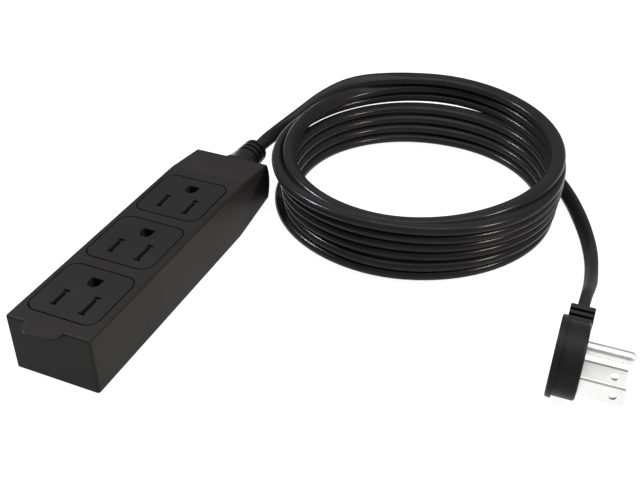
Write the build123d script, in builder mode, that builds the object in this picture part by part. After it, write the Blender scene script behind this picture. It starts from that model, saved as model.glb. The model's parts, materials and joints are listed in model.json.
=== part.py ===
"""A three-outlet surge protector strip with a coiled flat cord and a low flat plug.

Millimetres. +Y runs along the strip towards its cord, +X is to the right and +Z is up.
The origin lies under the middle of the strip, without its cord, on the surface it stands on.
"""

import os
from math import cos, pi, radians, sin, tan

from build123d import *

# Strip housing. Stations are distances along the strip from its near end face.
WIDTH = 36.0
HEIGHT = 24.0
WALL = 2.2
BODY_LENGTH = 136.5
SLOPE_START = 112.8  # the top falls from here to the cord end
SLOPE_END = 134.5
SLOPE_LOW = 21.3
RISE_START = 107.0  # the underside rises from here to the cord end
RISE_END = 134.8
RISE_HIGH = 4.2
CAVITY_END = 132.6
CORNER_RADIUS = 1.0
EDGE_RADIUS = 0.8
LIP_X = -1.2  # thumb lip on the near end, flush with the top
LIP_HALF_WIDTH = 8.1
LIP_DEPTH = 4.6
LIP_RADIUS = 4.4
LIP_THICKNESS = 1.3

# Strain relief on the strip
RELIEF_END = 158.0
RELIEF_Z = 12.5
RELIEF_BASE_RADIUS = 8.2
RELIEF_SEAT = 134.6
RELIEF_NECK_RADIUS = 4.6
RELIEF_FLANGE_RADIUS = 5.4
RELIEF_RIB_RADIUS = 6.1
RELIEF_GROOVES = (148.4, 151.8, 155.2)
GROOVE_WIDTH = 1.3
GROOVE_DEPTH = 1.2

# Outlets, North American 15 A pattern
OUTLET_STATIONS = (16.35, 51.7, 87.0)  # the line through the two blade slots
OUTLET_SHIFT_X = -0.5  # the faces sit a little left of the slots' middle
OUTLET_SHIFT_Y = 5.1  # from the slot line to the middle of the face
FACE_SIZE = 29.2
FACE_RADIUS = 4.6
FACE_GAP = 0.55
FLANGE_SIZE = 30.4
FLANGE_THICKNESS = 1.4
SLOT_X = 6.35
SLOT_WIDTH = 1.7
LINE_SLOT = 7.4
NEUTRAL_SLOT = 9.0
SLOT_END_WIDTH = 2.8  # shallow cross-cuts at both ends of a slot
SLOT_END_LENGTH = 0.8
SLOT_END_DEPTH = 0.9
GROUND_Y = 11.9  # from the slot line to the middle of the ground pin
GROUND_RADIUS = 2.6  # the ground hole is round towards the slots
GROUND_FAR = 2.7  # from the middle of the pin to the hole's flat side
GROUND_CORNER = 0.4

# Base and screws
BASE_THICKNESS = 2.4
BASE_HALF_WIDTH = 15.7
SCREW_X = 13.4
SCREW_STATIONS = (6.0, 54.0, 101.0)
BOSS_RADIUS = 2.8
BOSS_TOP = 20.1
SHANK_RADIUS = 1.25
HEAD_RADIUS = 2.4
HEAD_HEIGHT = 1.4
HEAD_RECESS = 1.6
SHANK_TOP = 12.0

# Contacts
CARRIER_FLOOR = 2.6
CARRIER_START = 8.9
CARRIER_END = 107.0
CARRIER_HALF_WIDTH = 10.3
CARRIER_TOP = 19.6
BAR_Z = 4.1
BAR_THICKNESS = 0.8
BAR_X = 6.9
BAR_START = 10.0
BAR_END = 110.8
CLIP_SHEET = 0.6
CLIP_TOP = 18.8

# Surge board and cord anchorage
BOARD_Z = 11.4
BOARD_THICKNESS = 1.2
BOARD_START = 109.0
BOARD_END = 120.4
BOARD_HALF_WIDTH = 11.4
POST_X = 10.1
CLAMP_STATION = 129.3
CLAMP_LENGTH = 4.0
CLAMP_HALF_WIDTH = 9.0
CLAMP_SCREW_X = 6.4
STUB_START = 126.5

# Cord: flat oval section, and the round tube of about the same area that stands for it
CORD_WIDTH = 6.8
CORD_THICKNESS = 4.2
CORD_CORE = 2.0
TUBE_RADIUS = 2.8

# Coil of the cord: half round in front, a little flatter behind, and lowest in front
COIL_CENTRE = (78.2, 170.0)  # the second value is a station
COIL_OUTER = 66.5
COIL_OUTER_BACK = 65.5
COIL_INNER = 53.5
COIL_INNER_SHIFT = (2.0, -3.5)  # the opening's middle, from the coil's
COIL_HEIGHT_FRONT = 27.0
COIL_HEIGHT_BACK = 34.0

# Plug: the middle of its face, and how it stands on its rim
PLUG_X = 172.4
PLUG_STATION = 68.65
PLUG_YAW = 3.6
PLUG_DIP = 1.8
PLUG_LEAN = 10.4
PLUG_BODY_RADIUS = 13.9
PLUG_BODY_DEPTH = 8.0
PLUG_GRIP_RADIUS = 14.8
PLUG_GRIP_THICKNESS = 2.2
PLUG_CAVITY_RADIUS = 11.9
PLUG_FRONT = 1.2
PLUG_CORE_DEPTH = 4.6
PLUG_EXIT_ANGLE = 29.0
PLUG_EXIT_DEPTH = 4.0
PLUG_RELIEF_END = 19.2
PLUG_RELIEF_WIDTH = 11.4
PLUG_RELIEF_THICKNESS = 8.8
PLUG_RELIEF_GROOVES = (14.0, 16.4)
PLUG_GROOVE_WIDTH = 1.1
PLUG_GROOVE_DEPTH = 1.3
PLUG_NECK_WIDTH = 9.0
PLUG_NECK_THICKNESS = 5.6
PLUG_STUB_START = 10.6
PIN_X = 6.35
PIN_Y = 5.95  # blades this far below the face's middle, ground pin as far above it
BLADE_LENGTH = 15.9
BLADE_WIDTH = 6.3
BLADE_THICKNESS = 1.5
BLADE_HOLE = 11.7
BLADE_HOLE_RADIUS = 1.5
GROUND_PIN_RADIUS = 2.38
GROUND_PIN_LENGTH = 16.6
GROUND_TAIL_RADIUS = 2.0
TAIL_DEPTH = 7.9

Y_NEAR = (LIP_DEPTH - RELIEF_END) / 2


def at(station):
    """Y of a station along the strip."""
    return Y_NEAR + station


def across(station):
    """A plane across the strip at a station, centred on the cord's axis."""
    return Plane(origin=(0, at(station), RELIEF_Z), x_dir=(1, 0, 0), z_dir=(0, 1, 0))


def underside(station):
    """Height of the housing's underside at a station."""
    share = (station - RISE_START) / (RISE_END - RISE_START)
    return RISE_HIGH * max(share, 0)


def top_inside(station):
    """Height of the inside of the housing's top at a station."""
    share = (station - SLOPE_START) / (SLOPE_END - SLOPE_START)
    return HEIGHT - WALL - (HEIGHT - SLOPE_LOW) * max(share, 0)


def write(part, name):
    part.part.label = name
    export_step(part.part, f"parts/{name}.step")


os.makedirs("parts", exist_ok=True)

face_centres = [(OUTLET_SHIFT_X, at(s) + OUTLET_SHIFT_Y) for s in OUTLET_STATIONS]
screw_spots = [(side * SCREW_X, at(s)) for s in SCREW_STATIONS for side in (-1, 1)]

# ---- Housing ----

with BuildPart() as top_cover:
    with BuildSketch(Plane.YZ):
        with BuildLine():
            Polyline(
                (at(RISE_END), RISE_HIGH),
                (at(RISE_START), 0),
                (at(0), 0),
                (at(0), HEIGHT),
                (at(SLOPE_START), HEIGHT),
                (at(SLOPE_END), SLOPE_LOW),
            )
            ThreePointArc(
                (at(SLOPE_END), SLOPE_LOW), (at(BODY_LENGTH), RELIEF_Z), (at(RISE_END), RISE_HIGH)
            )
        make_face()
    extrude(amount=WIDTH / 2, both=True)
    fillet(top_cover.edges().filter_by(Axis.Z).sort_by(Axis.Y)[:2], CORNER_RADIUS)
    top_faces = top_cover.faces().sort_by(Axis.Z)[-2:]
    ridge = top_faces[0].edges() & top_faces[1].edges()
    far_edge = top_faces.edges().sort_by(Axis.Y)[-1:]
    fillet(top_faces.edges() - ridge - far_edge, EDGE_RADIUS)
    # The cavity, open below
    with BuildSketch(Plane.YZ):
        with BuildLine():
            Polyline(
                (at(WALL), -1),
                (at(WALL), HEIGHT - WALL),
                (at(SLOPE_START), HEIGHT - WALL),
                (at(CAVITY_END), top_inside(CAVITY_END)),
                (at(CAVITY_END), -1),
                close=True,
            )
        make_face()
    extrude(amount=WIDTH / 2 - WALL, both=True, mode=Mode.SUBTRACT)
    # The thumb lip
    with BuildSketch(Plane.XY.offset(HEIGHT - LIP_THICKNESS)):
        with Locations((LIP_X, at(0))):
            RectangleRounded(2 * LIP_HALF_WIDTH, 2 * LIP_DEPTH, LIP_RADIUS)
    extrude(amount=LIP_THICKNESS)
    # Windows for the outlet faces
    with BuildSketch(Plane.XY.offset(HEIGHT - WALL - 1)):
        with Locations(face_centres):
            RectangleRounded(FACE_SIZE + 2 * FACE_GAP, FACE_SIZE + 2 * FACE_GAP, FACE_RADIUS + FACE_GAP)
    extrude(amount=WALL + 2, mode=Mode.SUBTRACT)
    # Screw bosses on the side walls
    with BuildSketch(Plane.XY.offset(BASE_THICKNESS + 0.1)):
        with Locations(screw_spots):
            Circle(BOSS_RADIUS)
            Circle(SHANK_RADIUS + 0.05, mode=Mode.SUBTRACT)
    extrude(amount=BOSS_TOP - BASE_THICKNESS - 0.1)
    # The hole and the seat for the strain relief
    with BuildSketch(across(CAVITY_END - 1)):
        Circle(RELIEF_NECK_RADIUS)
    extrude(amount=5, mode=Mode.SUBTRACT)
    with BuildSketch(across(RELIEF_SEAT)):
        Circle(RELIEF_BASE_RADIUS)
    extrude(amount=5, mode=Mode.SUBTRACT)
write(top_cover, "top_cover")

with BuildPart() as base_cover:
    with BuildSketch(Plane.YZ):
        with BuildLine():
            Polyline(
                (at(WALL + 0.1), 0),
                (at(RISE_START), 0),
                (at(CAVITY_END - 0.1), underside(CAVITY_END - 0.1)),
                (at(CAVITY_END - 0.1), underside(CAVITY_END - 0.1) + BASE_THICKNESS),
                (at(RISE_START), BASE_THICKNESS),
                (at(WALL + 0.1), BASE_THICKNESS),
                close=True,
            )
        make_face()
    extrude(amount=BASE_HALF_WIDTH, both=True)
    # Posts under the surge board
    with BuildSketch(Plane.XY.offset(3.0)):
        with Locations([(side * POST_X, at(s)) for s in (112.6, 118.6) for side in (-1, 1)]):
            Circle(1.2)
    extrude(amount=BOARD_Z - 3.0)
    # The saddle that the cord is clamped on
    with BuildSketch(Plane.XY.offset(underside(CLAMP_STATION) + 1)):
        with Locations((0, at(CLAMP_STATION))):
            Rectangle(2 * CLAMP_HALF_WIDTH, CLAMP_LENGTH)
    extrude(amount=RELIEF_Z - 0.3 - underside(CLAMP_STATION) - 1)
    with BuildSketch(across(CLAMP_STATION - 4)):
        SlotOverall(CORD_WIDTH + 0.1, CORD_THICKNESS + 0.1)
    extrude(amount=8, mode=Mode.SUBTRACT)
    with BuildSketch(Plane.XY.offset(7.0)):
        with Locations([(side * CLAMP_SCREW_X, at(CLAMP_STATION)) for side in (-1, 1)]):
            Circle(1.15)
    extrude(amount=8, mode=Mode.SUBTRACT)
    # Screw holes with recesses for the heads
    with BuildSketch(Plane.XY):
        with Locations(screw_spots):
            Circle(HEAD_RADIUS + 0.2)
    extrude(amount=HEAD_RECESS, mode=Mode.SUBTRACT)
    with BuildSketch(Plane.XY):
        with Locations(screw_spots):
            Circle(SHANK_RADIUS + 0.15)
    extrude(amount=BASE_THICKNESS, mode=Mode.SUBTRACT)
write(base_cover, "base_cover")

with BuildPart() as base_screws:
    with BuildSketch(Plane.XY.offset(HEAD_RECESS - HEAD_HEIGHT)):
        with Locations(screw_spots):
            Circle(HEAD_RADIUS)
    extrude(amount=HEAD_HEIGHT)
    with BuildSketch(Plane.XY.offset(HEAD_RECESS)):
        with Locations(screw_spots):
            Circle(SHANK_RADIUS)
    extrude(amount=SHANK_TOP - HEAD_RECESS)
    with BuildSketch(Plane.XY.offset(HEAD_RECESS - HEAD_HEIGHT)):
        with Locations(screw_spots):
            Rectangle(2.6, 0.6)
            Rectangle(0.6, 2.6)
    extrude(amount=0.8, mode=Mode.SUBTRACT)
write(base_screws, "base_screws")

# ---- Outlet faces ----

for number, (slot_station, centre) in enumerate(zip(OUTLET_STATIONS, face_centres), 1):
    slot_line = at(slot_station)
    with BuildPart() as outlet_face:
        with BuildSketch(Plane.XY.offset(HEIGHT - WALL - FLANGE_THICKNESS)):
            with Locations(centre):
                RectangleRounded(FLANGE_SIZE, FLANGE_SIZE, FACE_RADIUS)
        extrude(amount=FLANGE_THICKNESS)
        with BuildSketch(Plane.XY.offset(HEIGHT - WALL)):
            with Locations(centre):
                RectangleRounded(FACE_SIZE, FACE_SIZE, FACE_RADIUS)
        extrude(amount=WALL)
        with BuildSketch(Plane.XY.offset(HEIGHT - WALL - FLANGE_THICKNESS)):
            with Locations((-SLOT_X, slot_line)):
                Rectangle(SLOT_WIDTH, LINE_SLOT)
            with Locations((SLOT_X, slot_line)):
                Rectangle(SLOT_WIDTH, NEUTRAL_SLOT)
        extrude(amount=WALL + FLANGE_THICKNESS, mode=Mode.SUBTRACT)
        # Shallow cross-cuts at the ends of the blade slots
        with BuildSketch(Plane.XY.offset(HEIGHT - SLOT_END_DEPTH)):
            for x, length in ((-SLOT_X, LINE_SLOT), (SLOT_X, NEUTRAL_SLOT)):
                reach = (length + SLOT_END_LENGTH) / 2
                with Locations((x, slot_line - reach), (x, slot_line + reach)):
                    RectangleRounded(SLOT_END_WIDTH, SLOT_END_LENGTH + 0.2, 0.3)
        extrude(amount=SLOT_END_DEPTH, mode=Mode.SUBTRACT)
        # The ground hole
        with BuildSketch(Plane.XY.offset(HEIGHT - WALL - FLANGE_THICKNESS)) as ground_hole:
            with Locations((0, slot_line + GROUND_Y)):
                Rectangle(2 * GROUND_RADIUS, GROUND_FAR, align=(Align.CENTER, Align.MIN))
            fillet(ground_hole.vertices().sort_by(Axis.Y)[-2:], GROUND_CORNER)
            with Locations((0, slot_line + GROUND_Y)):
                Circle(GROUND_RADIUS)
        extrude(amount=WALL + FLANGE_THICKNESS, mode=Mode.SUBTRACT)
    write(outlet_face, f"outlet_face_{number}")

# ---- Contacts ----

RIB_X = 4.0
RIB_THICKNESS = 0.7
OUTER_RIB_X = CARRIER_HALF_WIDTH - RIB_THICKNESS / 2
CROSS_WALLS = (34.0, 69.4)  # between one outlet's ground contact and the next outlet's slots

with BuildPart() as contact_carrier:
    carrier_middle = (0, at((CARRIER_START + CARRIER_END) / 2))
    with BuildSketch(Plane.XY.offset(CARRIER_FLOOR)):
        with Locations(carrier_middle):
            Rectangle(2 * CARRIER_HALF_WIDTH, CARRIER_END - CARRIER_START)
    extrude(amount=BAR_Z - CARRIER_FLOOR)
    with BuildSketch(Plane.XY.offset(BAR_Z)):
        with Locations(carrier_middle):
            with Locations([(x, 0) for x in (-OUTER_RIB_X, -RIB_X, RIB_X, OUTER_RIB_X)]):
                Rectangle(RIB_THICKNESS, CARRIER_END - CARRIER_START)
    extrude(amount=CARRIER_TOP - BAR_Z)
    with BuildSketch(Plane.XY.offset(BAR_Z + BAR_THICKNESS + 0.4)):
        with Locations([(0, at(s)) for s in CROSS_WALLS]):
            Rectangle(2 * CARRIER_HALF_WIDTH, RIB_THICKNESS)
    extrude(amount=CARRIER_TOP - BAR_Z - BAR_THICKNESS - 0.4)
write(contact_carrier, "contact_carrier")


def bus_bar(x, width, name):
    """A strip along the three outlets with a tab that rises to the surge board."""
    with BuildPart() as bar:
        with BuildSketch(Plane.YZ.offset(x)):
            with BuildLine():
                Polyline(
                    (at(BAR_START), BAR_Z),
                    (at(BAR_END), BAR_Z),
                    (at(BAR_END), BOARD_Z),
                    (at(BAR_END) - BAR_THICKNESS, BOARD_Z),
                    (at(BAR_END) - BAR_THICKNESS, BAR_Z + BAR_THICKNESS),
                    (at(BAR_START), BAR_Z + BAR_THICKNESS),
                    close=True,
                )
            make_face()
        extrude(amount=width / 2, both=True)
    write(bar, name)


bus_bar(-BAR_X, 3.4, "line_bus_bar")
bus_bar(BAR_X, 3.4, "neutral_bus_bar")
bus_bar(0, 4.4, "ground_bus_bar")


def contact_clips(x, offset, half_gap, length, name):
    """One spring clip for each outlet: a folded sheet with flared tips, open upwards."""
    foot = BAR_Z + BAR_THICKNESS
    neck = CLIP_TOP - 2.5
    outer = half_gap + CLIP_SHEET
    right = [(outer, foot), (outer, neck), (outer + 0.5, CLIP_TOP)]
    inside = [(half_gap + 0.5, CLIP_TOP), (half_gap, neck), (half_gap, foot + CLIP_SHEET)]
    half = right + inside
    outline = half + [(-px, pz) for px, pz in reversed(half)]
    with BuildPart() as clips:
        for station in OUTLET_STATIONS:
            middle = at(station) + offset
            with BuildSketch(Plane(origin=(x, middle, 0), x_dir=(1, 0, 0), z_dir=(0, -1, 0))):
                with BuildLine():
                    Polyline(*outline, close=True)
                make_face()
            extrude(amount=length / 2, both=True)
    write(clips, name)


contact_clips(-SLOT_X, 0, 0.8, 6.0, "line_contact_clips")
contact_clips(SLOT_X, 0, 0.8, 7.0, "neutral_contact_clips")
contact_clips(0, GROUND_Y, 2.45, 6.0, "ground_contact_clips")

# ---- Surge board and cord anchorage ----

with BuildPart() as surge_board:
    with BuildSketch(Plane.XY.offset(BOARD_Z)):
        with Locations((0, at((BOARD_START + BOARD_END) / 2))):
            Rectangle(2 * BOARD_HALF_WIDTH, BOARD_END - BOARD_START)
    extrude(amount=BOARD_THICKNESS)
write(surge_board, "surge_board")

BOARD_TOP = BOARD_Z + BOARD_THICKNESS
VARISTOR_RADIUS = 3.5
VARISTOR_THICKNESS = 3.0
VARISTOR_STATION = 113.6
VARISTOR_Z = BOARD_TOP + 0.6 + VARISTOR_RADIUS
varistor_xs = (-8.0, 0.0, 8.0)

with BuildPart() as surge_varistors:
    with BuildSketch(Plane.XZ.offset(-at(VARISTOR_STATION))):
        with Locations([(x, VARISTOR_Z) for x in varistor_xs]):
            Circle(VARISTOR_RADIUS)
    extrude(amount=VARISTOR_THICKNESS / 2, both=True)
    fillet(surge_varistors.edges(), 0.6)
    with BuildSketch(Plane.XY.offset(BOARD_TOP)):
        with Locations([(x + leg, at(VARISTOR_STATION)) for x in varistor_xs for leg in (-2, 2)]):
            Circle(0.35)
    extrude(amount=VARISTOR_Z - BOARD_TOP)
write(surge_varistors, "surge_varistors")

FUSE_STATION = 118.3
FUSE_Z = BOARD_TOP + 2.2

with BuildPart() as thermal_fuse:
    with BuildSketch(Plane.YZ):
        with Locations((at(FUSE_STATION), FUSE_Z)):
            Circle(1.6)
    extrude(amount=4.2, both=True)
    with BuildSketch(Plane.YZ):
        with Locations((at(FUSE_STATION), FUSE_Z)):
            Circle(0.4)
    extrude(amount=6.4, both=True)
    with BuildSketch(Plane.XY.offset(BOARD_TOP)):
        with Locations((-6.0, at(FUSE_STATION)), (6.0, at(FUSE_STATION))):
            Circle(0.4)
    extrude(amount=FUSE_Z - BOARD_TOP)
write(thermal_fuse, "thermal_fuse")

CLAMP_LOW = RELIEF_Z + 0.3
CLAMP_HIGH = RELIEF_Z + 3.8
clamp_spots = [(side * CLAMP_SCREW_X, at(CLAMP_STATION)) for side in (-1, 1)]

with BuildPart() as cord_clamp:
    with BuildSketch(Plane.XY.offset(CLAMP_LOW)):
        with Locations((0, at(CLAMP_STATION))):
            Rectangle(2 * CLAMP_HALF_WIDTH, CLAMP_LENGTH - 0.2)
    extrude(amount=CLAMP_HIGH - CLAMP_LOW)
    with BuildSketch(across(CLAMP_STATION - 4)):
        SlotOverall(CORD_WIDTH + 0.1, CORD_THICKNESS + 0.1)
    extrude(amount=8, mode=Mode.SUBTRACT)
    with BuildSketch(Plane.XY.offset(CLAMP_LOW)):
        with Locations(clamp_spots):
            Circle(1.25)
    extrude(amount=CLAMP_HIGH - CLAMP_LOW, mode=Mode.SUBTRACT)
write(cord_clamp, "cord_clamp")

with BuildPart() as clamp_screws:
    with BuildSketch(Plane.XY.offset(7.5)):
        with Locations(clamp_spots):
            Circle(1.1)
    extrude(amount=CLAMP_HIGH - 7.5)
    with BuildSketch(Plane.XY.offset(CLAMP_HIGH)):
        with Locations(clamp_spots):
            Circle(2.1)
    extrude(amount=1.3)
    with BuildSketch(Plane.XY.offset(CLAMP_HIGH + 0.6)):
        with Locations(clamp_spots):
            Rectangle(2.4, 0.5)
            Rectangle(0.5, 2.4)
    extrude(amount=0.7, mode=Mode.SUBTRACT)
write(clamp_screws, "clamp_screws")

with BuildPart() as strain_relief:
    with BuildSketch(Plane.YZ):
        with BuildLine():
            Polyline(
                (at(147.0), RELIEF_Z + RELIEF_RIB_RADIUS + 0.3),
                (at(RELIEF_END - 0.5), RELIEF_Z + RELIEF_RIB_RADIUS - 0.2),
                (at(RELIEF_END), RELIEF_Z + RELIEF_RIB_RADIUS - 0.7),
                (at(RELIEF_END), RELIEF_Z),
                (at(CAVITY_END - 1), RELIEF_Z),
                (at(CAVITY_END - 1), RELIEF_Z + RELIEF_FLANGE_RADIUS),
                (at(CAVITY_END), RELIEF_Z + RELIEF_FLANGE_RADIUS),
                (at(CAVITY_END), RELIEF_Z + RELIEF_NECK_RADIUS),
                (at(RELIEF_SEAT), RELIEF_Z + RELIEF_NECK_RADIUS),
                (at(RELIEF_SEAT), RELIEF_Z + RELIEF_BASE_RADIUS),
                (at(137.2), RELIEF_Z + RELIEF_BASE_RADIUS),
            )
            ThreePointArc(
                (at(137.2), RELIEF_Z + RELIEF_BASE_RADIUS),
                (at(141.4), RELIEF_Z + 7.1),
                (at(147.0), RELIEF_Z + RELIEF_RIB_RADIUS + 0.3),
            )
        make_face()
        with Locations([(at(s), RELIEF_Z + RELIEF_RIB_RADIUS) for s in RELIEF_GROOVES]):
            Rectangle(GROOVE_WIDTH, 2 * GROOVE_DEPTH, mode=Mode.SUBTRACT)
    revolve(axis=Axis((0, 0, RELIEF_Z), (0, 1, 0)))
    with BuildSketch(across(CAVITY_END - 2)):
        SlotOverall(CORD_WIDTH, CORD_THICKNESS)
    extrude(amount=RELIEF_END - CAVITY_END + 4, mode=Mode.SUBTRACT)
write(strain_relief, "strain_relief")

with BuildPart() as cord_inner_end:
    with BuildSketch(across(STUB_START)):
        SlotOverall(CORD_WIDTH, CORD_THICKNESS)
    extrude(amount=RELIEF_END - STUB_START)
write(cord_inner_end, "cord_inner_end")


def inner_lead(x, bar_x, name):
    """One core of the cord, from the jacket's end to its bus bar's tab."""
    path_points = [
        (x, at(STUB_START), RELIEF_Z),
        (x, at(STUB_START - 2.6), RELIEF_Z),
        (0.5 * (x + bar_x), at(STUB_START - 7.4), RELIEF_Z - 4.2),
        (bar_x, at(STUB_START - 12.0), RELIEF_Z - 4.4),
        (bar_x, at(BAR_END), RELIEF_Z - 4.4),
    ]
    with BuildPart() as lead:
        with BuildLine() as path:
            FilletPolyline(*path_points, radius=2.0)
        with BuildSketch(Plane(origin=path.line @ 0, z_dir=path.line % 0)):
            Circle(CORD_CORE / 2)
        sweep()
    write(lead, name)


inner_lead(-CORD_CORE - 0.1, -BAR_X, "line_lead")
inner_lead(CORD_CORE + 0.1, BAR_X, "neutral_lead")
inner_lead(0, 0, "ground_lead")

# ---- Plug ----

across_plug = Vector(0, 1, 0).rotate(Axis.Z, PLUG_YAW)
blades_out = Vector(1, 0, 0).rotate(Axis.Y, PLUG_DIP).rotate(Axis.Z, PLUG_YAW)
PLUG_Z = PLUG_GRIP_RADIUS * cos(radians(PLUG_DIP)) - PLUG_BODY_DEPTH * sin(radians(PLUG_DIP))
plug_origin = Vector(PLUG_X, at(PLUG_STATION), PLUG_Z)
plug_face = Plane(
    origin=plug_origin,
    x_dir=across_plug.rotate(Axis((0, 0, 0), blades_out), -PLUG_LEAN),
    z_dir=blades_out,
)
exit_x = cos(radians(PLUG_EXIT_ANGLE))
exit_y = sin(radians(PLUG_EXIT_ANGLE))
cord_out = plug_face.x_dir * exit_x + plug_face.y_dir * exit_y
side_way = plug_face.y_dir * exit_x - plug_face.x_dir * exit_y


def plug_point(outward, sideways, depth):
    """A point inside the plug, from its face's middle: along the cord, across it and back."""
    return plug_origin + cord_out * outward + side_way * sideways - blades_out * depth


def plug_section(outward):
    """A plane across the plug's cord, this far out from the face's middle."""
    return Plane(origin=plug_point(outward, 0, PLUG_EXIT_DEPTH), x_dir=side_way, z_dir=cord_out)


with BuildPart() as line_blade:
    with BuildSketch(plug_face.offset(-TAIL_DEPTH)):
        with Locations((PIN_X, -PIN_Y)):
            Rectangle(BLADE_THICKNESS, BLADE_WIDTH / 2)
    extrude(amount=TAIL_DEPTH)
    with BuildSketch(plug_face.offset(-PLUG_CORE_DEPTH)):
        with Locations((PIN_X, -PIN_Y)):
            Rectangle(BLADE_THICKNESS, BLADE_WIDTH)
    extrude(amount=PLUG_CORE_DEPTH + BLADE_LENGTH)
    tip = line_blade.faces().sort_by(Axis((0, 0, 0), blades_out))[-1]
    chamfer(tip.edges(), 0.45)
    hole_plane = Plane(
        origin=plug_origin + blades_out * BLADE_HOLE - plug_face.y_dir * PIN_Y,
        x_dir=blades_out,
        z_dir=plug_face.x_dir,
    )
    with BuildSketch(hole_plane):
        Circle(BLADE_HOLE_RADIUS)
    extrude(amount=2 * PIN_X, both=True, mode=Mode.SUBTRACT)
write(line_blade, "line_blade")

middle_plane = Plane(origin=plug_origin, x_dir=blades_out, z_dir=plug_face.x_dir)
with BuildPart() as neutral_blade:
    add(mirror(line_blade.part, about=middle_plane, mode=Mode.PRIVATE))
write(neutral_blade, "neutral_blade")

with BuildPart() as ground_pin:
    with BuildSketch(plug_face.offset(-TAIL_DEPTH)):
        with Locations((0, PIN_Y)):
            Circle(GROUND_TAIL_RADIUS)
    extrude(amount=TAIL_DEPTH)
    with BuildSketch(plug_face):
        with Locations((0, PIN_Y)):
            Circle(GROUND_PIN_RADIUS)
    extrude(amount=GROUND_PIN_LENGTH)
    fillet(ground_pin.edges().sort_by(Axis((0, 0, 0), blades_out))[-1:], 1.9)
write(ground_pin, "ground_pin")

with BuildPart() as plug_body:
    with BuildSketch(plug_face):
        Circle(PLUG_BODY_RADIUS)
    extrude(amount=-PLUG_BODY_DEPTH)
    fillet(plug_body.edges().sort_by(Axis((0, 0, 0), blades_out))[-1:], 1.0)
    with BuildSketch(plug_face.offset(-PLUG_FRONT)):
        Circle(PLUG_CAVITY_RADIUS)
    extrude(amount=-PLUG_BODY_DEPTH, mode=Mode.SUBTRACT)
    with BuildSketch(plug_face):
        with Locations((PIN_X, -PIN_Y), (-PIN_X, -PIN_Y)):
            Rectangle(BLADE_THICKNESS, BLADE_WIDTH)
        with Locations((0, PIN_Y)):
            Circle(GROUND_TAIL_RADIUS)
    extrude(amount=-PLUG_BODY_DEPTH, mode=Mode.SUBTRACT)
    with BuildSketch(plug_section(PLUG_STUB_START)):
        RectangleRounded(PLUG_NECK_WIDTH, PLUG_NECK_THICKNESS, 1.5)
    extrude(amount=PLUG_RELIEF_END, mode=Mode.SUBTRACT)
write(plug_body, "plug_body")

with BuildPart() as plug_back_grip:
    with BuildSketch(plug_face.offset(-PLUG_BODY_DEPTH)):
        Circle(PLUG_GRIP_RADIUS)
    extrude(amount=-PLUG_GRIP_THICKNESS)
    fillet(plug_back_grip.edges().sort_by(Axis((0, 0, 0), blades_out))[:1], 0.8)
    with BuildSketch(plug_face.offset(-PLUG_BODY_DEPTH)):
        Circle(PLUG_CAVITY_RADIUS)
    extrude(amount=-0.6, mode=Mode.SUBTRACT)
write(plug_back_grip, "plug_back_grip")

with BuildPart() as plug_core:
    with BuildSketch(plug_face.offset(-PLUG_FRONT)):
        Circle(PLUG_CAVITY_RADIUS - 0.1)
        with Locations((exit_x * PLUG_CAVITY_RADIUS, exit_y * PLUG_CAVITY_RADIUS)):
            Rectangle(12, 30, rotation=PLUG_EXIT_ANGLE, mode=Mode.SUBTRACT)
    extrude(amount=PLUG_FRONT - PLUG_CORE_DEPTH)
    add(line_blade.part, mode=Mode.SUBTRACT)
    add(neutral_blade.part, mode=Mode.SUBTRACT)
    add(ground_pin.part, mode=Mode.SUBTRACT)
write(plug_core, "plug_core")

with BuildPart() as plug_strain_relief:
    with BuildSketch(plug_section(PLUG_STUB_START)):
        RectangleRounded(PLUG_RELIEF_WIDTH, PLUG_RELIEF_THICKNESS, 0.8)
    extrude(amount=PLUG_RELIEF_END - PLUG_STUB_START)
    with BuildSketch(plug_face.offset(2)):
        Circle(PLUG_BODY_RADIUS)
    extrude(amount=-4 * PLUG_BODY_DEPTH, mode=Mode.SUBTRACT)
    with BuildSketch(plug_face.offset(-PLUG_BODY_DEPTH)):
        Circle(PLUG_GRIP_RADIUS)
    extrude(amount=-PLUG_BODY_DEPTH, mode=Mode.SUBTRACT)
    for groove in PLUG_RELIEF_GROOVES:
        with BuildSketch(plug_section(groove)):
            Rectangle(3 * PLUG_RELIEF_WIDTH, 3 * PLUG_RELIEF_WIDTH)
            RectangleRounded(
                PLUG_RELIEF_WIDTH - 2 * PLUG_GROOVE_DEPTH,
                PLUG_RELIEF_THICKNESS - 2 * PLUG_GROOVE_DEPTH,
                1.2,
                mode=Mode.SUBTRACT,
            )
        extrude(amount=PLUG_GROOVE_WIDTH, mode=Mode.SUBTRACT)
    # The neck through the body's wall, and its foot inside
    with BuildSketch(plug_section(PLUG_STUB_START + 0.6)):
        RectangleRounded(PLUG_NECK_WIDTH, PLUG_NECK_THICKNESS, 1.5)
    extrude(amount=4)
    with BuildSketch(plug_section(PLUG_STUB_START - 1)):
        SlotOverall(CORD_WIDTH, CORD_THICKNESS)
    extrude(amount=PLUG_RELIEF_END, mode=Mode.SUBTRACT)
write(plug_strain_relief, "plug_strain_relief")

with BuildPart() as cord_plug_end:
    with BuildSketch(plug_section(PLUG_STUB_START)):
        SlotOverall(CORD_WIDTH, CORD_THICKNESS)
    extrude(amount=PLUG_RELIEF_END - PLUG_STUB_START)
write(cord_plug_end, "cord_plug_end")

PLUG_LEAD_BEND = 6.6


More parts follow.
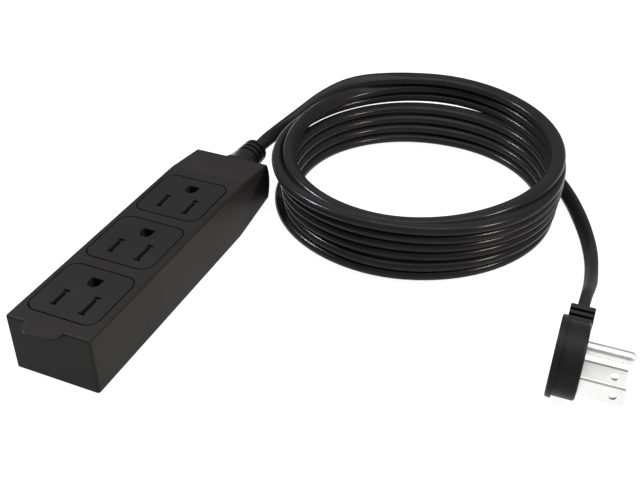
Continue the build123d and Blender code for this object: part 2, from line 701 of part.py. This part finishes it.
def plug_lead(sideways, tail_x, tail_y, tail_size, depth, name):
    """One core of the cord inside the plug, from the jacket's end to a blade's tail."""
    tail = plug_face.from_local_coords((tail_x, tail_y, -depth))
    bend = plug_point(PLUG_LEAD_BEND, sideways, depth)
    stop = tail + (bend - tail).normalized() * tail_size
    path_points = [
        plug_point(PLUG_STUB_START, sideways, PLUG_EXIT_DEPTH),
        plug_point(PLUG_STUB_START - 1.2, sideways, PLUG_EXIT_DEPTH),
        bend,
        stop,
    ]
    with BuildPart() as lead:
        with BuildLine() as path:
            FilletPolyline(*path_points, radius=1.1)
        with BuildSketch(Plane(origin=path.line @ 0, z_dir=path.line % 0)):
            Circle(CORD_CORE / 2 - 0.1)
        sweep()
    write(lead, name)


plug_lead(0, 0, PIN_Y, 2.2, 5.6, "plug_ground_lead")
plug_lead(-2.1, PIN_X, -PIN_Y, 2.4, 6.7, "plug_line_lead")
plug_lead(2.1, -PIN_X, -PIN_Y, 2.4, 7.4, "plug_neutral_lead")

# ---- Cord ----

cord_cap = plug_point(PLUG_RELIEF_END, 0, PLUG_EXIT_DEPTH)

strip_to_coil_route = [
    (0, at(158), 12.5),
    (0, at(168), 12.5),
    (1.6, at(180), 16.5),
    (6.5, at(192), 22.0),
    (15.5, at(204.5), 27.5),
    (28.5, at(215), 30.5),
    (42, at(221.5), 31.5),
]
coil_to_plug_route = [
    (119, at(221.5), 3.0),
    (133, at(209), 3.0),
    (145.5, at(189.5), 3.0),
    (156.5, at(168), 3.0),
    (163.2, at(147), 3.2),
    (166.4, at(126), 7.0),
    (167.2, at(108), 16.0),
    tuple(cord_cap + cord_out * 6.5),
    tuple(cord_cap),
]

with BuildPart() as cord_coil:
    with BuildSketch():
        with Locations((COIL_CENTRE[0], at(COIL_CENTRE[1]))):
            Circle(COIL_OUTER)
            Rectangle(
                2 * COIL_OUTER, COIL_OUTER, align=(Align.CENTER, Align.MIN), mode=Mode.SUBTRACT
            )
            Ellipse(COIL_OUTER, COIL_OUTER_BACK)
            with Locations(COIL_INNER_SHIFT):
                Circle(COIL_INNER, mode=Mode.SUBTRACT)
    extrude(amount=COIL_HEIGHT_BACK + 4)
    top_tilt = Plane.YZ.offset(-2 * COIL_OUTER)
    with BuildSketch(top_tilt):
        with BuildLine():
            Polyline(
                (at(COIL_CENTRE[1]) - 2 * COIL_OUTER, 1.5 * COIL_HEIGHT_FRONT - COIL_HEIGHT_BACK / 2),
                (at(COIL_CENTRE[1]) + 2 * COIL_OUTER, 1.5 * COIL_HEIGHT_BACK - COIL_HEIGHT_FRONT / 2),
                (at(COIL_CENTRE[1]) + 2 * COIL_OUTER, 4 * COIL_HEIGHT_BACK),
                (at(COIL_CENTRE[1]) - 2 * COIL_OUTER, 4 * COIL_HEIGHT_BACK),
                close=True,
            )
        make_face()
    extrude(amount=6 * COIL_OUTER, mode=Mode.SUBTRACT)
write(cord_coil, "cord_coil")


def cord_tube(route, name):
    """A round tube along straight runs joined by arcs, cut where it meets the coil."""
    points = [Vector(*p) for p in route]
    runs = [b - a for a, b in zip(points, points[1:])]
    turns = [a.get_angle(b) for a, b in zip(runs, runs[1:])]
    radii = [
        0.45 * min(a.length, b.length) / tan(radians(turn / 2))
        for a, b, turn in zip(runs, runs[1:], turns)
    ]
    with BuildPart() as tube:
        with BuildLine() as path:
            FilletPolyline(*points, radius=radii)
        with BuildSketch(Plane(origin=path.line @ 0, z_dir=path.line % 0)):
            Circle(TUBE_RADIUS)
        sweep()
        expected = pi * TUBE_RADIUS**2 * path.wire().length
        print(name, "runs", [round(run.length, 1) for run in runs])
        print(name, "turns", [round(turn, 1) for turn in turns])
        print(name, "radii", [round(radius, 1) for radius in radii])
        print(name, "volume", round(tube.part.volume), "of", round(expected))
        add(cord_coil.part, mode=Mode.SUBTRACT)
    print(name, "solids", len(tube.part.solids()))
    write(tube, name)


cord_tube(strip_to_coil_route, "cord_to_coil")
cord_tube(coil_to_plug_route, "cord_to_plug")
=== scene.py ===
"""Looks for the three-outlet surge protector strip, its coiled flat cord and its low round plug.

Metres, in the model's own frame: +Y along the strip towards its cord, +Z up.
"""

import json
from math import cos, pi, radians, sin, tau

import bpy
import bmesh
from mathutils import Matrix, Vector


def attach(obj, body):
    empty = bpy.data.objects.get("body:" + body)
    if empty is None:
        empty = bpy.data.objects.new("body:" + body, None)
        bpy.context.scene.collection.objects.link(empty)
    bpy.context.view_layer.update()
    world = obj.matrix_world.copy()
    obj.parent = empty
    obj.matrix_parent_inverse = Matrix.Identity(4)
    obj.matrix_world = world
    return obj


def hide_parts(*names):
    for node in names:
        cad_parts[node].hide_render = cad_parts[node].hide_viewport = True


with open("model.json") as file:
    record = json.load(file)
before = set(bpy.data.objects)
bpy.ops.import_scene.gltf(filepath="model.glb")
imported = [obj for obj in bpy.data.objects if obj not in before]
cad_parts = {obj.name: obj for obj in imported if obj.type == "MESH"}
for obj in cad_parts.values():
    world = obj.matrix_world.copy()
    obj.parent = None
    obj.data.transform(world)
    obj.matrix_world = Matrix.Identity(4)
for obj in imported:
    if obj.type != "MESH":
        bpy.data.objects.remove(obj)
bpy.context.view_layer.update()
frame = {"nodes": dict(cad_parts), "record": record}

MM = 0.001

# ---- Camera ----

CAMERA_PLACE = (0.18706, -0.26663, 0.23581)
CAMERA_RIGHT = Vector((0.9150, 0.4034, 0.0))
CAMERA_BACK = Vector((0.3305, -0.7496, 0.5735))
LENS = 53.0
SENSOR_WIDTH = 36.0
NEAREST_SEEN = 0.01
FARTHEST_SEEN = 20.0


def make_camera():
    """The camera, at its place and facing the strip, the coil and the plug together."""
    data = bpy.data.cameras.new("camera")
    data.lens = LENS
    data.sensor_width = SENSOR_WIDTH
    data.clip_start = NEAREST_SEEN
    data.clip_end = FARTHEST_SEEN
    camera = bpy.data.objects.new("camera", data)
    bpy.context.scene.collection.objects.link(camera)
    back = CAMERA_BACK.normalized()
    right = CAMERA_RIGHT.normalized()
    up = back.cross(right).normalized()
    turn = Matrix((right, up, back)).transposed().to_4x4()
    camera.matrix_world = Matrix.Translation(CAMERA_PLACE) @ turn
    bpy.context.scene.camera = camera


make_camera()

# ---- Cord ----

CORD_WIDTH = 6.8 * MM
CORD_THICKNESS = 4.2 * MM
COIL_CENTRE = Vector((78.2, 93.3, 0.0)) * MM
STEPS_PER_TURN = 16
COIL_START = radians(118)
COIL_LEAVE = radians(42)
LINE_STEPS = 6  # points of the line for each control point
EDGE_STEPS = 8  # flat faces round each of the cord's two round edges

# The coil's passes from the top down. Each row is one pass: its radius and height in mm at
# eight places, from the back round by the right, the front and the left. The last row is the
# stretch that leaves the coil
PLACES_PER_PASS = 8
PASSES = [
    [
        (62.2, 30.2), (62.0, 27.8), (60.2, 26.4), (57.0, 24.0),
        (58.4, 22.4), (59.6, 22.9), (59.3, 24.2), (62.4, 25.0),
    ],
    [
        (62.8, 25.8), (61.6, 23.4), (61.4, 22.1), (64.0, 23.9),
        (64.9, 25.4), (65.2, 22.4), (63.7, 20.8), (62.6, 20.7),
    ],
    [
        (62.2, 21.2), (61.0, 19.1), (61.4, 17.9), (63.4, 19.4),
        (64.3, 20.9), (62.6, 17.7), (59.4, 16.4), (57.0, 16.6),
    ],
    [
        (55.8, 16.9), (59.4, 15.5), (61.4, 14.0), (62.8, 15.4),
        (64.3, 16.4), (62.4, 13.6), (57.4, 12.6), (54.6, 12.4),
    ],
    [
        (54.0, 12.5), (57.8, 11.0), (60.9, 10.2), (62.8, 11.2),
        (64.2, 11.9), (62.2, 9.9), (56.0, 8.6), (52.8, 8.1),
    ],
    [
        (52.4, 7.8), (56.4, 6.9), (60.6, 6.5), (63.4, 6.9),
        (65.8, 7.1), (62.0, 6.3), (54.2, 4.6), (51.0, 3.8),
    ],
    [
        (51.4, 2.8), (54.6, 2.8), (60.0, 2.7), (63.4, 2.7),
        (65.9, 2.7), (64.4, 2.7), (61.6, 2.7), (60.8, 2.7),
    ],
    [(60.6, 2.7), (63.5, 3.1)],
]

# The free stretches before and after the coil, in mm
STRIP_TO_COIL = [
    (0, 81.3, 12.5),
    (0, 91.3, 12.4),
    (2.4, 103.3, 13.4),
    (7.8, 115.3, 17.2),
    (16.4, 127.2, 24.4),
    (28.5, 137.6, 29.6),
]
COIL_TO_PLUG = [
    (133, 132.3, 3.4),
    (145.5, 112.8, 3.5),
    (155.6, 91.3, 3.7),
    (162.2, 72.3, 3.6),
    (165.2, 54.8, 4.4),
    (166.4, 37.2, 12.1),
    (167.2, 16.0, 22.9),
    (167.5, 9.86, 20.84),
]


def coil_points():
    """Control points along the coil, between the stations of its passes."""
    stations = [station for one_pass in PASSES for station in one_pass]
    points = []
    step = tau / STEPS_PER_TURN
    # A quadratic spline runs a little inside its control points
    outwards = 1 / cos(step / 2)
    angle = COIL_START
    while angle > COIL_LEAVE - (len(PASSES) - 1) * tau:
        place = max((pi / 2 - angle) / (tau / PLACES_PER_PASS), 0.0)
        before = min(int(place), len(stations) - 2)
        share = min(place - before, 1.0)
        near, far = stations[before], stations[before + 1]
        radius = (near[0] * (1 - share) + far[0] * share) * outwards * MM
        height = (near[1] * (1 - share) + far[1] * share) * MM
        points.append(COIL_CENTRE + Vector((radius * cos(angle), radius * sin(angle), height)))
        angle -= step
    return points


def spline_points(points, name):
    """Points along one smooth open spline through the route."""
    curve = bpy.data.curves.new(name, "CURVE")
    curve.dimensions = "3D"
    curve.resolution_u = LINE_STEPS
    spline = curve.splines.new("NURBS")
    spline.points.add(len(points) - 1)
    for spot, point in zip(spline.points, points):
        spot.co = (*point, 1.0)
    spline.order_u = 3
    spline.use_endpoint_u = True
    holder = bpy.data.objects.new(name, curve)
    mesh = bpy.data.meshes.new_from_object(holder)
    line = [vertex.co.copy() for vertex in mesh.vertices]
    bpy.data.objects.remove(holder)
    bpy.data.curves.remove(curve)
    bpy.data.meshes.remove(mesh)
    return line


def flat_section(width, thickness, steps):
    """Outline of the flat cord's section: straight sides and round edges, across and up."""
    reach = (width - thickness) / 2
    outline = []
    for side in (1, -1):
        for step in range(steps + 1):
            angle = -pi / 2 + pi * step / steps
            across = reach + cos(angle) * thickness / 2
            outline.append((side * across, side * sin(angle) * thickness / 2))
    return outline


def sweep(name, line, sides, outline):
    """A closed mesh tube of the given section along a line, with its wide side along sides."""
    mesh = bpy.data.meshes.new(name)
    work = bmesh.new()
    rings = []
    for index, place in enumerate(line):
        ahead = line[min(index + 1, len(line) - 1)]
        behind = line[max(index - 1, 0)]
        along = (ahead - behind).normalized()
        side = sides[index]
        side = (side - along * side.dot(along)).normalized()
        up = along.cross(side) * -1
        spots = [place + side * across + up * high for across, high in outline]
        rings.append([work.verts.new(spot) for spot in spots])
    for first, second in zip(rings, rings[1:]):
        for index in range(len(outline)):
            after = (index + 1) % len(outline)
            work.faces.new((first[index], first[after], second[after], second[index]))
    work.faces.new(reversed(rings[0]))
    work.faces.new(rings[-1])
    bmesh.ops.recalc_face_normals(work, faces=work.faces)
    for face in work.faces:
        face.smooth = True
    work.to_mesh(mesh)
    work.free()
    piece = bpy.data.objects.new(name, mesh)
    bpy.context.scene.collection.objects.link(piece)
    return piece


# How far the cord's wide side leans up from level, facing outwards
BANK = radians(14)  # in the coil
FIRST_BANK = radians(42)  # where it comes from the strip
UPRIGHT = radians(68)  # nearly on edge, on its way to the plug
LEFT_LEAN = radians(-32)  # added at the coil's left, where the lower turns lie over
LEFT_RISE = radians(46)  # and where the two top ones stand up side by side
LEAN_POWER = 3  # how closely those two keep to the left
PLUG_SIDE = Vector((0.049, -0.307, 0.950))  # the wide side where the cord meets the plug

# Where along the cord one way of lying passes into the next, and over what length
LEVEL_FIRST = 22 * MM  # it leaves the strip lying flat
SETTLE_FROM = 45 * MM
SETTLE_OVER = 60 * MM
TOP_TURNS_END = 860 * MM
TOP_TURNS_OVER = 60 * MM
# These are measured back from the plug
RISE_FROM = 165 * MM
RISE_OVER = 120 * MM
PLUG_TURN = 40 * MM


def smooth(share):
    """An eased share between 0 and 1."""
    share = min(max(share, 0.0), 1.0)
    return share * share * (3 - 2 * share)


def cord_sides(line):
    """Which way the cord's wide side faces along its line."""
    lengths = [0.0]
    for first, second in zip(line, line[1:]):
        lengths.append(lengths[-1] + (second - first).length)
    total = lengths[-1]
    sides = []
    for index, (place, length) in enumerate(zip(line, lengths)):
        left = total - length
        outwards = place - COIL_CENTRE
        outwards.z = 0.0
        outwards.normalize()
        settled = smooth((length - SETTLE_FROM) / SETTLE_OVER)
        top = 1 - smooth((length - TOP_TURNS_END) / TOP_TURNS_OVER)
        leftwards = max(-outwards.x, 0.0) ** LEAN_POWER
        lean = (LEFT_LEAN + (LEFT_RISE - LEFT_LEAN) * top) * leftwards * settled
        risen = smooth((RISE_FROM - left) / RISE_OVER)
        ahead = line[min(index + 1, len(line) - 1)]
        behind = line[max(index - 1, 0)]
        level = (ahead - behind).normalized().cross(Vector((0, 0, -1)))
        outwards = (outwards * (1 - risen) + level * risen).normalized()
        bank = FIRST_BANK + (BANK - FIRST_BANK) * settled + (UPRIGHT - BANK) * risen + lean
        side = outwards * cos(bank) + Vector((0, 0, 1)) * sin(bank)
        side = side.lerp(Vector((-1, 0, 0)), 1 - smooth(length / LEVEL_FIRST))
        side = side.lerp(PLUG_SIDE, 1 - smooth(left / PLUG_TURN))
        sides.append(side.normalized())
    return sides


def make_cord():
    """The flat cord from the strip through the coil to the plug, in one piece."""
    route = [Vector(point) * MM for point in STRIP_TO_COIL]
    route += coil_points()
    route += [Vector(point) * MM for point in COIL_TO_PLUG]
    line = spline_points(route, "cord_line")
    outline = flat_section(CORD_WIDTH, CORD_THICKNESS, EDGE_STEPS)
    cord = sweep("cord", line, cord_sides(line), outline)
    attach(cord, "root")
    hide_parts("cord_to_coil", "cord_coil", "cord_to_plug")
    length = sum((b - a).length for a, b in zip(line, line[1:]))
    print("cord length", round(length, 4))
    return cord


cord = make_cord()

# ---- Materials ----

GRAIN = 900.0  # scale of the fine noise, per metre
GRAIN_DEPTH = 0.1 * MM
GLOSS_SPREAD = 0.04  # how far the roughness strays either way
MOTTLE = 40.0  # scale of the broad unevenness of colour
MOTTLE_SPREAD = 0.12
MOTTLE_EDGES = (0.3, 0.7)  # the noise values where the darkest and the lightest colour begin


def plain(name, colour, roughness, metallic=0.0, bump=0.05, specular=0.5):
    """A moulded or metal surface with fine grain and slightly uneven colour and gloss."""
    material = bpy.data.materials.new(name)
    material.use_nodes = True
    nodes = material.node_tree.nodes
    links = material.node_tree.links
    shader = nodes["Principled BSDF"]
    shader.inputs["Metallic"].default_value = metallic
    shader.inputs["Specular IOR Level"].default_value = specular
    place = nodes.new("ShaderNodeTexCoord")
    fine = nodes.new("ShaderNodeTexNoise")
    fine.inputs["Scale"].default_value = GRAIN
    fine.inputs["Detail"].default_value = 3.0
    links.new(place.outputs["Object"], fine.inputs["Vector"])
    broad = nodes.new("ShaderNodeTexNoise")
    broad.inputs["Scale"].default_value = MOTTLE
    broad.inputs["Detail"].default_value = 4.0
    links.new(place.outputs["Object"], broad.inputs["Vector"])
    tint = nodes.new("ShaderNodeValToRGB")
    tint.color_ramp.elements[0].position = MOTTLE_EDGES[0]
    tint.color_ramp.elements[1].position = MOTTLE_EDGES[1]
    darker = [part * (1 - MOTTLE_SPREAD) for part in colour]
    lighter = [part * (1 + MOTTLE_SPREAD) for part in colour]
    tint.color_ramp.elements[0].color = (*darker, 1.0)
    tint.color_ramp.elements[1].color = (*lighter, 1.0)
    links.new(broad.outputs["Fac"], tint.inputs["Fac"])
    links.new(tint.outputs["Color"], shader.inputs["Base Color"])
    ramp = nodes.new("ShaderNodeMapRange")
    ramp.inputs["To Min"].default_value = roughness - GLOSS_SPREAD
    ramp.inputs["To Max"].default_value = roughness + GLOSS_SPREAD
    links.new(fine.outputs["Fac"], ramp.inputs["Value"])
    links.new(ramp.outputs["Result"], shader.inputs["Roughness"])
    relief = nodes.new("ShaderNodeBump")
    relief.inputs["Strength"].default_value = bump
    relief.inputs["Distance"].default_value = GRAIN_DEPTH
    links.new(fine.outputs["Fac"], relief.inputs["Height"])
    links.new(relief.outputs["Normal"], shader.inputs["Normal"])
    return material


def dull_beyond(material, start, end, more):
    """A surface that loses its gloss along X, between start and end."""
    nodes = material.node_tree.nodes
    links = material.node_tree.links
    gloss = nodes["Principled BSDF"].inputs["Roughness"]
    before = gloss.links[0].from_socket
    place = nodes.new("ShaderNodeTexCoord")
    apart = nodes.new("ShaderNodeSeparateXYZ")
    links.new(place.outputs["Object"], apart.inputs["Vector"])
    reach = nodes.new("ShaderNodeMapRange")
    reach.inputs["From Min"].default_value = start
    reach.inputs["From Max"].default_value = end
    reach.inputs["To Min"].default_value = 0.0
    reach.inputs["To Max"].default_value = more
    links.new(apart.outputs["X"], reach.inputs["Value"])
    total = nodes.new("ShaderNodeMath")
    links.new(before, total.inputs[0])
    links.new(reach.outputs["Result"], total.inputs[1])
    links.new(total.outputs["Value"], gloss)


# Each material slot's colour and roughness, and what else plain() is told about it
FINISHES = {
    "housing_black": ((0.0138, 0.0128, 0.0124), 0.42, {"specular": 0.07}),
    "face_black": ((0.0128, 0.0124, 0.0124), 0.40, {"specular": 0.08}),
    "cord_black": ((0.0130, 0.0126, 0.0129), 0.21, {"specular": 0.10}),
    "plug_black": ((0.0115, 0.0115, 0.012), 0.38, {"specular": 0.08}),
    "nickel": ((0.88, 0.87, 0.85), 0.40, {"metallic": 1.0}),
    "carrier_grey": ((0.35, 0.35, 0.34), 0.5, {}),
    # The contacts' brass is darkened well below its own colour, as painted shade deep inside the
    # outlet slots
    "contact_brass": ((0.20, 0.15, 0.08), 0.45, {"metallic": 1.0}),
    "board_green": ((0.02, 0.13, 0.05), 0.35, {}),
    "varistor_blue": ((0.03, 0.1, 0.35), 0.3, {}),
    "fuse_white": ((0.75, 0.72, 0.65), 0.3, {}),
    "screw_steel": ((0.5, 0.5, 0.5), 0.35, {"metallic": 1.0}),
    "core_black": ((0.02, 0.02, 0.02), 0.35, {}),
    "core_white": ((0.75, 0.75, 0.73), 0.35, {}),
    "core_green": ((0.03, 0.3, 0.08), 0.35, {}),
}

materials = {
    slot: plain(slot, colour, roughness, **more)
    for slot, (colour, roughness, more) in FINISHES.items()
}

# The stretch to the plug is duller than the coil. The change lies between two places along X
DULL_FROM = 144 * MM
DULL_BY = 152 * MM
DULL_MORE = 0.42  # added to the roughness
dull_beyond(materials["cord_black"], DULL_FROM, DULL_BY, DULL_MORE)

for part in frame["record"]["subparts"]:
    node = frame["nodes"][part["node"]]
    node.data.materials.clear()
    node.data.materials.append(materials[part["material_slot"]])
cord.data.materials.append(materials["cord_black"])

# ---- Floor and light ----

FLOOR_REACH = 6.0  # metres either way from the origin
FLOOR_DROP = 0.2 * MM  # just clear of the strip's underside
FLOOR_GLOW = 0.95
WORLD_STRENGTH = 0.22
LIGHT_AIM = (0.08, 0.04, 0.0)

# Each light's name, place, size, power in watts and colour
LIGHTS = [
    ("soft_left", (-0.65, 0.1, 0.75), (0.16, 0.12), 9.5, (0.93, 0.95, 1.0)),
    ("soft_right", (0.9, 0.0, 0.7), (0.2, 0.14), 10.0, (1.0, 0.93, 0.9)),
    ("soft_top", (0.1, 0.0, 1.3), (1.2, 1.0), 12.0, (1.0, 1.0, 1.0)),
]


def make_floor():
    """A wide white floor that lights the object a little from below."""
    mesh = bpy.data.meshes.new("floor")
    corners = [(-1, -1), (1, -1), (1, 1), (-1, 1)]
    points = [(x * FLOOR_REACH, y * FLOOR_REACH, 0) for x, y in corners]
    mesh.from_pydata(points, [], [(0, 1, 2, 3)])
    floor = bpy.data.objects.new("floor", mesh)
    bpy.context.scene.collection.objects.link(floor)
    floor.location.z = -FLOOR_DROP
    white = plain("floor_white", (0.15, 0.15, 0.15), 0.9, bump=0.0, specular=0.0)
    glow = white.node_tree.nodes["Principled BSDF"]
    glow.inputs["Emission Color"].default_value = (1.0, 1.0, 1.0, 1.0)
    glow.inputs["Emission Strength"].default_value = FLOOR_GLOW
    floor.data.materials.append(white)


def area_light(name, place, size, power, colour):
    """A rectangular soft light that faces the object."""
    data = bpy.data.lights.new(name, "AREA")
    data.shape = "RECTANGLE"
    data.size = size[0]
    data.size_y = size[1]
    data.energy = power
    data.color = colour
    light = bpy.data.objects.new(name, data)
    bpy.context.scene.collection.objects.link(light)
    light.location = place
    away = (Vector(place) - Vector(LIGHT_AIM)).normalized()
    light.rotation_euler = away.to_track_quat("Z", "Y").to_euler()


make_floor()
for light in LIGHTS:
    area_light(*light)

world = bpy.data.worlds.new("world")
world.use_nodes = True
background = world.node_tree.nodes["Background"]
background.inputs["Color"].default_value = (1, 1, 1, 1)
background.inputs["Strength"].default_value = WORLD_STRENGTH
bpy.context.scene.world = world
bpy.context.scene.view_settings.view_transform = "Standard"
